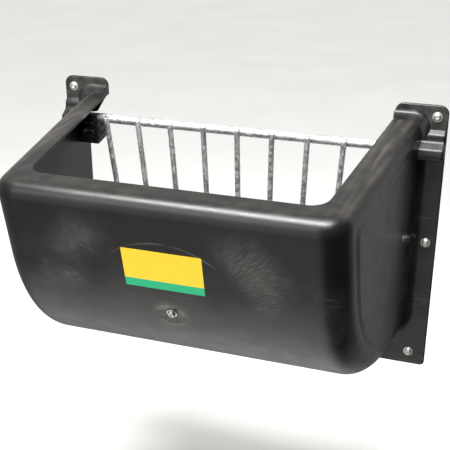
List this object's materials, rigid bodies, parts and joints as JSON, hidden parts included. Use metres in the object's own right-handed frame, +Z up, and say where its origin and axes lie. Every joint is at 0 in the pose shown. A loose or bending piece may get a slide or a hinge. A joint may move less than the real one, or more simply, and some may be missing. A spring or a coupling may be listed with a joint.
{
  "type": "hay rack feeder",
  "caption": "Wall-mounted black moulded trough, open at the top and back, with a hinged galvanised bar grid for feeding hay to small livestock.",
  "frame": {"origin": "on the wall face, midway between the two top wall bolts", "axes": "+X to the right along the wall, +Y into the wall, +Z up; the trough stands out towards -Y"},
  "size_m": [0.7, 0.4435, 0.488],
  "materials": {
    "moulded_polyethylene": "satin black moulded polyethylene with light scuffs",
    "bracket_polyamide": "matt black injection-moulded plastic",
    "plug_polyethylene": "satin black plastic",
    "zinc_plated_steel": "bright zinc plate",
    "galvanised_steel": "hot-dip galvanised, mottled",
    "label_vinyl": "printed self-adhesive vinyl, plain"
  },
  "bodies": {
    "trough": {"trough_shell": "moulded_polyethylene", "left_rail_bracket": "bracket_polyamide", "right_rail_bracket": "bracket_polyamide", "bracket_screw_left_upper": "zinc_plated_steel", "bracket_screw_left_lower": "zinc_plated_steel", "bracket_screw_right_upper": "zinc_plated_steel", "bracket_screw_right_lower": "zinc_plated_steel", "left_side_plug": "plug_polyethylene", "right_side_plug": "plug_polyethylene", "wall_bolt_top_left": "zinc_plated_steel", "wall_bolt_top_right": "zinc_plated_steel", "wall_bolt_middle_left": "zinc_plated_steel", "wall_bolt_middle_right": "zinc_plated_steel", "wall_bolt_bottom_left": "zinc_plated_steel", "wall_bolt_bottom_right": "zinc_plated_steel", "wall_washer_top_left": "zinc_plated_steel", "wall_washer_top_right": "zinc_plated_steel", "wall_washer_middle_left": "zinc_plated_steel", "wall_washer_middle_right": "zinc_plated_steel", "wall_washer_bottom_left": "zinc_plated_steel", "wall_washer_bottom_right": "zinc_plated_steel", "front_bolt": "zinc_plated_steel", "front_washer": "zinc_plated_steel", "front_nut": "zinc_plated_steel", "sticker": "label_vinyl"},
    "grid": {"hinge_rail": "galvanised_steel", "grid_bar_1": "galvanised_steel", "grid_bar_2": "galvanised_steel", "grid_bar_3": "galvanised_steel", "grid_bar_4": "galvanised_steel", "grid_bar_5": "galvanised_steel", "grid_bar_6": "galvanised_steel", "grid_bar_7": "galvanised_steel", "grid_bar_8": "galvanised_steel", "grid_bar_9": "galvanised_steel", "lower_cross_bar": "galvanised_steel"}
  },
  "joints": [
    {"name": "grid_hinge", "type": "hinge", "parent": "trough", "child": "grid", "pos_m": [0, -0.031, -0.049], "axis": [-1, 0, 0], "range_deg": [-1, 185]}
  ]
}
